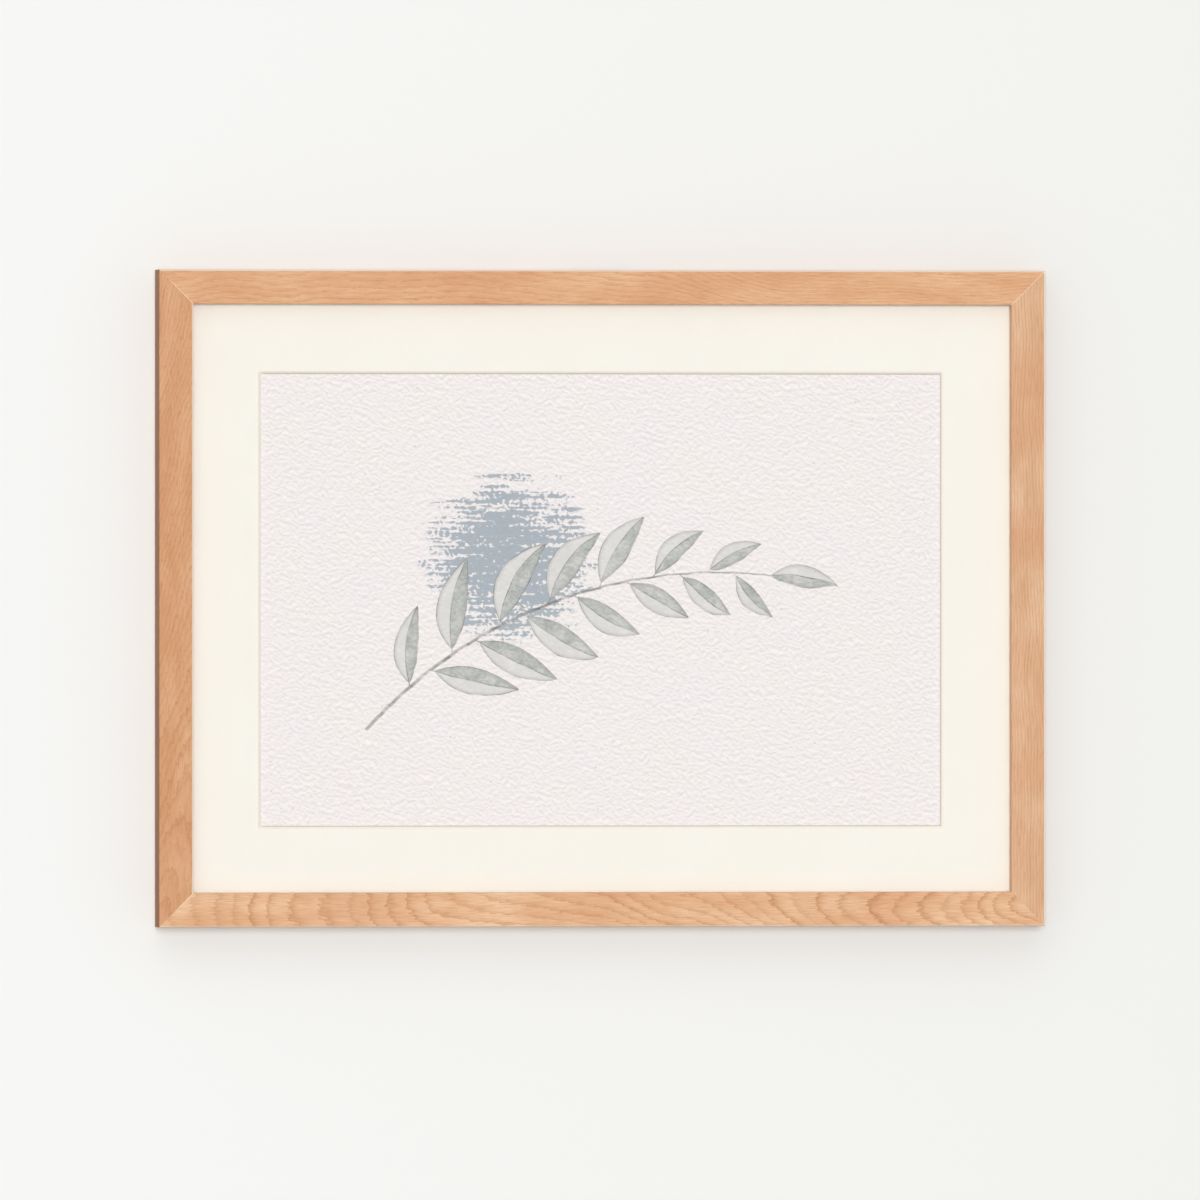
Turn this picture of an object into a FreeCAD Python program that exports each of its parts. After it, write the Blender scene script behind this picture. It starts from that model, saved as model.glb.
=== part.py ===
import FreeCAD, Part
import os
import re
import Sketcher
from FreeCAD import Placement, Rotation, Vector

# A picture in a mitred wooden frame, hung on a wall.
# X runs along the picture's width, Z is up, the picture faces -Y and the wall is the plane Y = 0.
# The origin is the point of the wall where the hanger's middle notch sits on its nail.

doc = FreeCAD.newDocument("framed_picture")

# Driving sizes in millimetres, with angles in degrees: name, value, what it is
SIZES = [
    ("sight_width", 408, "visible opening, between the lips of the side rails"),
    ("sight_height", 291, "visible opening, between the lips of the top and bottom rails"),
    ("face_width", 17, "width of a rail's front face, and of its mitre"),
    ("rail_depth", 20, "front face to back face of a rail"),
    ("lip_overlap", 5, "how far the lip reaches over the glass"),
    ("lip_thickness", 6, "wood in front of the glass"),
    ("arris_radius", 0.6, "rounding of a rail's long edges"),
    ("saw_overrun", 2, "how far the mitre cut runs past the wood"),
    ("wall_gap", 3, "air between the wood and the wall"),
    ("rebate_play", 1.5, "how much larger the rebate is than the glass and boards"),
    ("glass_thickness", 2, "glazing"),
    ("mat_thickness", 1.4, "window mat"),
    ("mat_bevel", 45, "angle of the window's cut edge from square"),
    ("border_side", 34.5, "mat seen beside the window, left and right"),
    ("border_top", 34.5, "mat seen above the window"),
    ("border_bottom", 33, "mat seen below the window"),
    ("sheet_thickness", 0.5, "heavy watercolour paper"),
    ("sheet_margin", 10, "paper hidden behind the mat on each side"),
    ("mount_thickness", 1.4, "board that the sheet is hinged to"),
    ("backing_thickness", 2.5, "hardboard that closes the back"),
    ("tape_thickness", 0.12, "gummed hinge tape"),
    ("tape_width", 25, "hinge tape, along the sheet's top edge"),
    ("tape_on_sheet", 8, "hinge tape stuck to the sheet"),
    ("tape_on_mount", 12, "hinge tape stuck to the mount board"),
    ("tape_inset", 50, "sheet's side edge to the middle of the tape"),
    ("point_length", 15, "retaining point, end to end"),
    ("point_bite", 7, "retaining point inside the wood"),
    ("point_width", 5.5, "retaining point"),
    ("point_thickness", 0.4, "retaining point"),
    ("point_tip", 2, "tapered end of a retaining point"),
    ("point_step_long", 130, "between the points of the top and bottom rails"),
    ("point_step_short", 140, "between the points of a side rail"),
    ("joint_nail_height", 10, "how deep a joint nail goes into the wood"),
    ("joint_nail_span", 4, "half the width of a joint nail across the mitre"),
    ("joint_nail_reach", 2.4, "how far a joint nail's wings run along the mitre"),
    ("joint_nail_thickness", 0.4, "steel of a joint nail, along the mitre"),
    ("joint_nail_outer", 6.5, "frame's corner to the first joint nail, along the mitre"),
    ("joint_nail_inner", 12.5, "frame's corner to the second joint nail, along the mitre"),
    ("hanger_length", 45, "sawtooth hanger, end to end"),
    ("hanger_height", 9, "width of the hanger's strip"),
    ("hanger_thickness", 0.8, "steel of the hanger"),
    ("hanger_foot", 8, "flat end of the hanger"),
    ("hanger_ramp", 2.5, "sloping part between foot and bridge"),
    ("hanger_corner", 1.5, "rounded corners of the hanger's feet"),
    ("tooth_pitch", 3, "notch to notch"),
    ("tooth_flat", 0.6, "blunt end of a tooth"),
    ("tooth_depth", 1.8, "height of a tooth"),
    ("tooth_notches", 7, "notches along the bridge"),
    ("nail_shank", 1.2, "hanger nail, diameter"),
    ("nail_length", 10, "hanger nail, below its head"),
    ("nail_point", 1.6, "tapered end of a hanger nail"),
    ("nail_head", 2.8, "hanger nail's head, diameter"),
    ("nail_head_thickness", 0.5, "hanger nail's head"),
    ("nail_hole_play", 0.1, "hanger's hole around the shank, on the radius"),
    ("bumper_diameter", 10, "wall bumper"),
    ("bumper_edge", 0.8, "rounded rim of a bumper"),
    ("bumper_inset", 30, "frame's side to the middle of a bumper"),
]

# Sizes and places that follow from them. Y values run from the wall, which is 0, to the front.
FOLLOWING = {
    "outer_width": "sight_width + 2 * face_width",
    "outer_height": "sight_height + 2 * face_width",
    "land": "face_width - lip_overlap",
    "top_edge": "land / 2 + hanger_height / 2 - tooth_depth",
    "bottom_edge": "top_edge - outer_height",
    "mid_height": "top_edge - outer_height / 2",
    "wood_back": "-wall_gap",
    "wood_front": "wood_back - rail_depth",
    "glass_front": "wood_front + lip_thickness",
    "mat_front": "glass_front + glass_thickness",
    "mat_back": "mat_front + mat_thickness",
    "sheet_front": "mat_back + tape_thickness",
    "mount_front": "sheet_front + sheet_thickness",
    "backing_front": "mount_front + mount_thickness",
    "backing_back": "backing_front + backing_thickness",
    "pane_width": "outer_width - 2 * land - rebate_play",
    "pane_bottom": "bottom_edge + land",
    "pane_top": "top_edge - land - rebate_play",
    "window_width": "sight_width - 2 * border_side",
    "window_top": "top_edge - face_width - border_top",
    "window_bottom": "bottom_edge + face_width + border_bottom",
    "sheet_width": "window_width + 2 * sheet_margin",
    "sheet_top": "window_top + sheet_margin",
    "sheet_bottom": "window_bottom - sheet_margin",
    "land_middle": "top_edge - land / 2",
    "hanger_rise": "wall_gap - hanger_thickness",
    "hanger_bend": "hanger_thickness * tan(atan(hanger_rise / hanger_ramp) / 2)",
    "foot_end": "hanger_length / 2 - hanger_foot",
    "bridge_end": "foot_end - hanger_ramp",
    "nail_place": "hanger_length / 2 - hanger_foot / 2",
    "nail_seat": "wood_back + hanger_thickness",
}

sheet = doc.addObject("Spreadsheet::Sheet", "sizes")
for row, (name, value, meaning) in enumerate(SIZES, start=1):
    sheet.set(f"A{row}", name)
    sheet.set(f"B{row}", str(value))
    sheet.set(f"C{row}", meaning)
    sheet.setAlias(f"B{row}", name)
doc.recompute()

SIZE_NAMES = {name for name, _, _ in SIZES}


def cells(text):
    """The expression with every size pointed at its cell, and every following value written out."""

    def cell(word):
        name = word.group(0)
        if name in SIZE_NAMES:
            return "sizes." + name
        if name in FOLLOWING:
            return "(" + cells(FOLLOWING[name]) + ")"
        return name

    return re.sub(r"[a-z_]+", cell, str(text))


def bind(thing, **properties):
    """Ties each property to an expression."""
    for name, text in properties.items():
        thing.setExpression(name, cells(text))


def put(thing, x=0, y=0, z=0, turn=Rotation()):
    """Turns the object and ties its place to expressions."""
    thing.Placement = Placement(Vector(), turn)
    for axis, text in (("x", x), ("y", y), ("z", z)):
        thing.setExpression("Placement.Base." + axis, cells(text))


def in_wall_plane(angle):
    """Turns a flat shape drawn in XY to face the front, with its X axis at this angle from X towards Z."""
    return Rotation(Vector(0, -1, 0), angle) * Rotation(Vector(1, 0, 0), 90)


# Sketches


def sketch_in(body, role, name):
    """A sketch on one of the body's own origin planes."""
    plane = next(p for p in body.Origin.OriginFeatures if p.Role == role)
    drawing = body.newObject("Sketcher::SketchObject", name)
    drawing.AttachmentSupport = (plane, "")
    drawing.MapMode = "FlatFace"
    return drawing


def fix_point(drawing, line, point, x, y):
    """Holds a sketch point at x, y from the origin."""
    for kind, text in (("DistanceX", x), ("DistanceY", y)):
        number = drawing.addConstraint(Sketcher.Constraint(kind, -1, 1, line, point, 1.0))
        drawing.setExpression(f"Constraints[{number}]", cells(text))


def outline(drawing, corners):
    """A closed outline of straight lines through corners, each a pair of expressions."""
    first = drawing.GeometryCount
    count = len(corners)
    rough = [Vector(*(evaluate(c) for c in corner), 0) for corner in corners]
    for i in range(count):
        drawing.addGeometry(Part.LineSegment(rough[i], rough[(i + 1) % count]), False)
    for i in range(count):
        following = first + (i + 1) % count
        drawing.addConstraint(Sketcher.Constraint("Coincident", first + i, 2, following, 1))
    for i, (x, y) in enumerate(corners):
        fix_point(drawing, first + i, 1, x, y)


def rectangle(drawing, width, bottom, top):
    """A rectangle centred from side to side."""
    left = f"-({width}) / 2"
    right = f"({width}) / 2"
    outline(drawing, [(left, bottom), (right, bottom), (right, top), (left, top)])


def circle(drawing, x, y, radius):
    """A circle whose centre and radius are expressions."""
    number = drawing.GeometryCount
    centre = Vector(evaluate(x), evaluate(y), 0)
    drawing.addGeometry(Part.Circle(centre, Vector(0, 0, 1), evaluate(radius)), False)
    fix_point(drawing, number, 3, x, y)
    size = drawing.addConstraint(Sketcher.Constraint("Radius", number, evaluate(radius)))
    drawing.setExpression(f"Constraints[{size}]", cells(radius))


def evaluate(text):
    """The expression's value now, to start a sketch near its final shape."""
    return float(sheet.evalExpression(cells(text)))


def edges_between(shape, wanted):
    """Names of the edges whose first and last points are wanted."""
    found = []
    for number, edge in enumerate(shape.Edges, start=1):
        if wanted(edge.Vertexes[0].Point, edge.Vertexes[-1].Point):
            found.append(f"Edge{number}")
    return found


def near(a, b):
    return abs(a - b) < 1e-4


# Features


def pad(body, profile, length, name, symmetric=False, backwards=False):
    feature = body.newObject("PartDesign::Pad", name)
    feature.Profile = profile
    feature.SideType = "Symmetric" if symmetric else "One side"
    feature.Reversed = backwards
    bind(feature, Length=length)
    return feature


def pocket(body, profile, name, backwards=False):
    """A cut through everything on one side of the profile's plane."""
    feature = body.newObject("PartDesign::Pocket", name)
    feature.Profile = profile
    feature.Type = "ThroughAll"
    feature.Reversed = backwards
    return feature


def fillet(body, base, wanted, radius, name):
    """Rounds the wanted edges of the base."""
    doc.recompute()
    feature = body.newObject("PartDesign::Fillet", name)
    feature.Base = (base, edges_between(base.Shape, wanted))
    bind(feature, Radius=radius)
    return feature


def new_body(label):
    body = doc.addObject("PartDesign::Body", label)
    body.Label = label
    return body


# Rails: a rebated moulding, rounded along its edges and mitred at both ends


def rail(label, length):
    """A rail along X with its outer edge at Z = 0 and its sight edge below, in the frame's own depth."""
    body = new_body(label + "_moulding")
    section = sketch_in(body, "YZ_Plane", label + "_section")
    outline(
        section,
        [
            ("wood_back", 0),
            ("wood_front", 0),
            ("wood_front", "-face_width"),
            ("glass_front", "-face_width"),
            ("glass_front", "-land"),
            ("wood_back", "-land"),
        ],
    )
    bar = pad(body, section, length, label + "_bar", symmetric=True)
    front = evaluate("wood_front")
    back = evaluate("wood_back")

    def long_arris(a, b):
        along = near(a.y, b.y) and near(a.z, b.z)
        return along and (near(a.y, front) or (near(a.y, back) and near(a.z, 0)))

    fillet(body, bar, long_arris, "arris_radius", label + "_arris")
    mitres = sketch_in(body, "XZ_Plane", label + "_mitres")
    for side in ("1", "-1"):
        tip = f"{side} * ({length} / 2 + saw_overrun)"
        inner = f"{side} * ({length} / 2 - face_width - saw_overrun)"
        below = "-face_width - saw_overrun"
        outline(mitres, [(tip, "saw_overrun"), (tip, below), (inner, below)])
    pocket(body, mitres, label + "_mitred", backwards=True)
    return body


SIDES = {
    "top_rail": ("outer_width", 0, "top_edge", 0),
    "right_rail": ("outer_height", "outer_width / 2", "mid_height", 90),
    "bottom_rail": ("outer_width", 0, "bottom_edge", 180),
    "left_rail": ("outer_height", "-outer_width / 2", "mid_height", -90),
}
mouldings = {}
for label, (length, x, z, turn) in SIDES.items():
    mouldings[label] = rail(label, length)
    put(mouldings[label], x=x, z=z, turn=Rotation(Vector(0, 1, 0), turn))


# Glass, mat, sheet and boards: flat pieces stacked in the rebate, standing on the bottom rail


def panel(label, width, bottom, top, back, thickness):
    """A flat rectangular piece, placed by its back face."""
    body = new_body(label)
    face = sketch_in(body, "XZ_Plane", label + "_face")
    rectangle(face, width, bottom, top)
    pad(body, face, thickness, label + "_slab")
    put(body, y=back)
    return body


def pane(label, back, thickness):
    """A panel as large as the rebate lets it be."""
    return panel(label, "pane_width", "pane_bottom", "pane_top", back, thickness)


def window_mat():
    """Mat board with a window cut at a bevel, wider at the front."""
    body = pane("window_mat", "mat_back", "mat_thickness")
    window = sketch_in(body, "XZ_Plane", "window")
    rectangle(window, "window_width", "window_bottom", "window_top")
    cut = body.newObject("PartDesign::Pocket", "bevelled_window")
    cut.Profile = window
    cut.Reversed = True
    bind(cut, Length="mat_thickness", TaperAngle="mat_bevel")
    return body


def hinge_tape(label, side):
    """Gummed tape over the sheet's top edge: stuck to the sheet, stepping back, stuck to the mount board."""
    body = new_body(label)
    profile = sketch_in(body, "YZ_Plane", label + "_profile")
    outline(
        profile,
        [
            ("mat_back", "sheet_top - tape_on_sheet"),
            ("sheet_front", "sheet_top - tape_on_sheet"),
            ("sheet_front", "sheet_top"),
            ("mount_front", "sheet_top"),
            ("mount_front", "sheet_top + tape_on_mount"),
            ("mount_front - tape_thickness", "sheet_top + tape_on_mount"),
            ("mount_front - tape_thickness", "sheet_top + tape_thickness"),
            ("mat_back", "sheet_top + tape_thickness"),
        ],
    )
    pad(body, profile, "tape_width", label + "_strip", symmetric=True)
    put(body, x=f"{side} * (sheet_width / 2 - tape_inset)")
    return body


glazing = pane("glazing", "mat_front", "glass_thickness")
mat = window_mat()
art_sheet = panel("art_sheet", "sheet_width", "sheet_bottom", "sheet_top", "mount_front", "sheet_thickness")
tapes = [hinge_tape("hinge_tape_left", -1), hinge_tape("hinge_tape_right", 1)]
mount_board = pane("mount_board", "backing_front", "mount_thickness")
back_board = pane("back_board", "backing_back", "backing_thickness")


# Steel driven into the wood: copies of a flat shape, each standing in the slot that it cuts


def stamped(label, corners, thickness, places):
    """One node of flat steel pieces: a shared outline, and a place and an angle for each piece."""
    blank = doc.addObject("Sketcher::SketchObject", label + "_blank")
    outline(blank, corners)
    pieces = []
    for number, (x, y, z, angle) in enumerate(places, start=1):
        piece = doc.addObject("Part::Extrusion", f"{label}_{number}")
        piece.Base = blank
        piece.DirMode = "Custom"
        piece.Dir = Vector(0, 0, 1)
        piece.Solid = True
        bind(piece, LengthFwd=thickness)
        put(piece, x, y, z, in_wall_plane(angle))
        pieces.append(piece)
    return group(label, pieces)


def group(label, pieces):
    """Separate solids that share one node."""
    node = doc.addObject("Part::Compound", label)
    node.Label = label
    node.Links = pieces
    return node


def joint_nails():
    """Two V-shaped nails across each mitre, one wing in each rail."""
    places = []
    for across, up, angle in ((1, 1, 225), (-1, 1, 315), (-1, -1, 45), (1, -1, 135)):
        for along in ("joint_nail_outer", "joint_nail_inner"):
            x = f"{across} * (outer_width / 2 - {along} / sqrt(2))"
            z = f"mid_height + {up} * (outer_height / 2 - {along} / sqrt(2))"
            places.append((x, "wood_back", z, angle))
    corners = [
        (0, 0),
        ("joint_nail_reach", "-joint_nail_span"),
        ("joint_nail_reach + joint_nail_thickness", "-joint_nail_span"),
        ("joint_nail_thickness", 0),
        ("joint_nail_reach + joint_nail_thickness", "joint_nail_span"),
        ("joint_nail_reach", "joint_nail_span"),
    ]
    return stamped("joint_nails", corners, "joint_nail_height", places)


def retaining_points():
    """Flexible points driven into the rebate's walls, lying flat on the back board."""
    y = "backing_back + point_thickness"
    places = []
    for step in (-1, 0, 1):
        places.append((f"{step} * point_step_long", y, "top_edge - land", 270))
        places.append((f"{step} * point_step_long", y, "bottom_edge + land", 90))
    for step in (-0.5, 0.5):
        z = f"mid_height + {step} * point_step_short"
        places.append(("-outer_width / 2 + land", y, z, 0))
        places.append(("outer_width / 2 - land", y, z, 180))
    corners = [
        ("-point_bite", 0),
        ("point_tip - point_bite", "-point_width / 2"),
        ("point_length - point_bite", "-point_width / 2"),
        ("point_length - point_bite", "point_width / 2"),
        ("point_tip - point_bite", "point_width / 2"),
    ]
    return stamped("retaining_points", corners, "point_thickness", places)


def hanger_nail(side):
    """A round nail through the hanger's foot, pointing into the top rail."""
    body = new_body("hanger_nail_left" if side < 0 else "hanger_nail_right")
    half = sketch_in(body, "XY_Plane", body.Label + "_half")
    tip = "nail_seat - nail_length"
    outline(
        half,
        [
            (0, tip),
            ("nail_shank / 2", f"{tip} + nail_point"),
            ("nail_shank / 2", "nail_seat"),
            ("nail_head / 2", "nail_seat"),
            ("nail_head / 2", "nail_seat + nail_head_thickness"),
            (0, "nail_seat + nail_head_thickness"),
        ],
    )
    turned = body.newObject("PartDesign::Revolution", body.Label + "_turned")
    turned.Profile = half
    turned.ReferenceAxis = (half, ["V_Axis"])
    put(body, x=f"{side} * nail_place", z="land_middle")
    return body


v_nails = joint_nails()
points = retaining_points()
nails = group("hanger_nails", [hanger_nail(-1), hanger_nail(1)])


# Sawtooth hanger: a strip bent into a low bridge, with notches along its lower edge


def sawtooth_hanger():
    body = new_body("sawtooth_hanger")
    side_view = sketch_in(body, "XY_Plane", "hanger_side_view")
    wood_side = [
        ("-hanger_length / 2", "wood_back"),
        ("-foot_end", "wood_back"),
        ("-bridge_end", "-hanger_thickness"),
        ("bridge_end", "-hanger_thickness"),
        ("foot_end", "wood_back"),
        ("hanger_length / 2", "wood_back"),
    ]
    wall_side = [
        ("hanger_length / 2", "nail_seat"),
        ("foot_end + hanger_bend", "nail_seat"),
        ("bridge_end + hanger_bend", 0),
        ("-bridge_end - hanger_bend", 0),
        ("-foot_end - hanger_bend", "nail_seat"),
        ("-hanger_length / 2", "nail_seat"),
    ]
    outline(side_view, wood_side + wall_side)
    strip = pad(body, side_view, "hanger_height", "hanger_strip", symmetric=True)
    end = evaluate("hanger_length / 2")

    def end_corner(a, b):
        return near(abs(a.x), end) and near(a.x, b.x) and near(a.z, b.z)

    fillet(body, strip, end_corner, "hanger_corner", "hanger_ends")
    holes = sketch_in(body, "XZ_Plane", "hanger_holes")
    for side in (-1, 1):
        circle(holes, f"{side} * nail_place", 0, "nail_shank / 2 + nail_hole_play")
    pocket(body, holes, "hanger_pierced", backwards=True)
    notch = sketch_in(body, "XZ_Plane", "first_notch")
    apex = "-(tooth_notches - 1) / 2 * tooth_pitch"
    half = "(tooth_pitch - tooth_flat) / 2"
    lower = "-hanger_height / 2"
    outline(
        notch,
        [
            (f"{apex} - {half}", lower),
            (f"{apex} + {half}", lower),
            (apex, f"{lower} + tooth_depth"),
        ],
    )
    cut = pocket(body, notch, "notch", backwards=True)
    row = body.newObject("PartDesign::LinearPattern", "notches")
    row.Originals = [cut]
    row.Direction = (notch, ["H_Axis"])
    bind(row, Length="(tooth_notches - 1) * tooth_pitch", Occurrences="tooth_notches")
    body.Tip = row
    put(body, z="land_middle")
    return body


hanger = sawtooth_hanger()


# Bumpers: soft discs under the bottom rail's back, as thick as the hanger stands off the wood


def wall_bumper(label, side):
    body = new_body(label)
    disc = sketch_in(body, "XZ_Plane", label + "_disc")
    circle(disc, 0, 0, "bumper_diameter / 2")
    puck = pad(body, disc, "wall_gap", label + "_puck", backwards=True)
    top = evaluate("wall_gap")
    fillet(body, puck, lambda a, b: near(a.y, top) and near(b.y, top), "bumper_edge", label + "_rim")
    put(
        body,
        x=f"{side} * (outer_width / 2 - bumper_inset)",
        y="wood_back",
        z="bottom_edge + land / 2",
    )
    return body


bumpers = [wall_bumper("wall_bumper_left", -1), wall_bumper("wall_bumper_right", 1)]


# Each rail with the slots of the steel that is driven into it

steel = group("driven_steel", [v_nails, points, nails])
rails = []
for label, moulding in mouldings.items():
    slotted = doc.addObject("Part::Cut", label)
    slotted.Label = label
    slotted.Base = moulding
    slotted.Tool = steel
    rails.append(slotted)

doc.recompute()

# Check every object, then write each sub-part

NODES = [*rails, v_nails, glazing, mat, art_sheet, *tapes, mount_board, back_board, points]
NODES += [hanger, nails, *bumpers]

for thing in doc.Objects:
    if "Invalid" in thing.State or "Error" in thing.State:
        raise RuntimeError(f"{thing.Name} failed: {thing.State}")
for node in NODES:
    if node.Shape.isNull() or not node.Shape.isValid() or not node.Shape.Solids:
        raise RuntimeError(f"{node.Label} has no valid solid")

os.makedirs("parts", exist_ok=True)
for node in NODES:
    node.Shape.exportStep(f"parts/{node.Label}.step")
    print(f"{node.Label}: {len(node.Shape.Solids)} solid(s), {node.Shape.Volume:.2f} mm3")
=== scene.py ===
import bpy
import math
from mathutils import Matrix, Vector


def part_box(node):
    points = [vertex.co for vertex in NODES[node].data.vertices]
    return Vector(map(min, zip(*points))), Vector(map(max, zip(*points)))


# A framed picture on a wall: finishes for each piece, the painted sheet, the wall, lamps and camera.
# Everything is in metres in the part's frame: X to the right, Z up, the picture faces -Y.

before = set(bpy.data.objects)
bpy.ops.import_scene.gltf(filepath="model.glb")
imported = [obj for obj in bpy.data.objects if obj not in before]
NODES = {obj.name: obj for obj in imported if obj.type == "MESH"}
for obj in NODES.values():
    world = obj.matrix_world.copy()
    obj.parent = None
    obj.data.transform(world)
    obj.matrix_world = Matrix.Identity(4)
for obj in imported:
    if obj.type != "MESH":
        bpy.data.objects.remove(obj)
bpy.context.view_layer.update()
MM = 0.001

frame_low, frame_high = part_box("left_rail")[0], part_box("right_rail")[1]
FRAME_SIZE = (frame_high - frame_low) / MM
MIDDLE = (frame_low + frame_high) / 2
RAIL_WIDTH = (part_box("left_rail")[1].x - frame_low.x) / MM
RAIL_FRONT = frame_low.y / MM
RAIL_DEPTH = (frame_high.y - frame_low.y) / MM


# Nodes and colours


def add(tree, kind, inputs=(), **settings):
    """Adds a node: its settings first, then a value for each input, or a link from a node or a socket."""
    made = tree.nodes.new(kind if kind.startswith("NodeGroup") else "ShaderNode" + kind)
    for name, value in settings.items():
        setattr(made, name, value)
    live = [socket for socket in made.inputs if socket.enabled]
    for key, value in inputs.items() if isinstance(inputs, dict) else enumerate(inputs):
        socket = live[key] if isinstance(key, int) else next(s for s in live if s.name == key)
        if isinstance(value, bpy.types.Node):
            value = next(output for output in value.outputs if output.enabled)
        if isinstance(value, bpy.types.NodeSocket):
            tree.links.new(value, socket)
        else:
            socket.default_value = value
    return made


def colour(text):
    """An sRGB hex colour as linear RGBA."""
    channels = [int(text[i : i + 2], 16) / 255 for i in (1, 3, 5)]
    linear = [c / 12.92 if c <= 0.04045 else ((c + 0.055) / 1.055) ** 2.4 for c in channels]
    return (*linear, 1.0)


def new_material(name):
    """An empty material, its node tree, and a node with the piece's own coordinates in millimetres."""
    made = bpy.data.materials.new(name)
    made.use_nodes = True
    tree = made.node_tree
    tree.nodes.clear()
    own = add(tree, "TexCoord").outputs["Object"]
    return made, tree, add(tree, "Mapping", {"Vector": own, "Scale": (1 / MM, 1 / MM, 1 / MM)})


def dress(node, material):
    """Gives a CAD node its finish."""
    for slot in NODES[node].material_slots:
        slot.link = "OBJECT"
        slot.material = material


# Wood: alder, planed, sanded and waxed. Nearly matt, light orange-tan, with year rings that end in a thin
# darker line, fine fibres, short dark flecks, and pale filler in the mitres. Its outer side is painted darker
# as shade, and its outer and sight arrises paler as highlights.

WOOD_PINK = colour("#DDA17A")
WOOD_RING = colour("#C4855A")
WOOD_FLECK = colour("#8E5B3C")
OUTER_SIDE_SHADE = colour("#D6C8BD")  # what the outer side keeps of the face's colour, painted darker as shade
RAW_BACK = colour("#AFA494")  # the dusty, unwaxed back
FILLER_AND_HIGHLIGHT = colour("#FDEBD8")
FILLER_WIDTH = 0.4  # mm across the joint, on both rails together
FIBRE = (9.0, 0.36)  # mm long and wide, twice the real width so that it shows
PITH_REACH = 100.0  # mm, the farthest that a log's pith is from a rail's middle
BEND = (55.0, 4.0)  # mm along and across, of the log's slow bends
SECOND_BEND = 41.7  # how far on the same noise is read for the pith's depth, so that it bends its own way
RING_END = 0.95  # of a year's growth, where its dark line begins to stop
TEAR_SCALE = (0.15, 0.7, 0.7)  # to a millimetre along and across the rail, as in the next two
CLOUD_SCALE = (0.025, 0.1, 0.1)
FLECK_SCALE = (0.4, 2.6, 2.6)
OUTER_ARRIS = (0.75, 0.5)  # mm in from the outer edge, where its painted highlight begins and where it is full
SIGHT_ARRIS = (0.7, 0.5)  # mm out from the sight edge, the same
ARRIS_DEPTH = (0.8, 0.6)  # mm behind the face, the same


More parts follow.
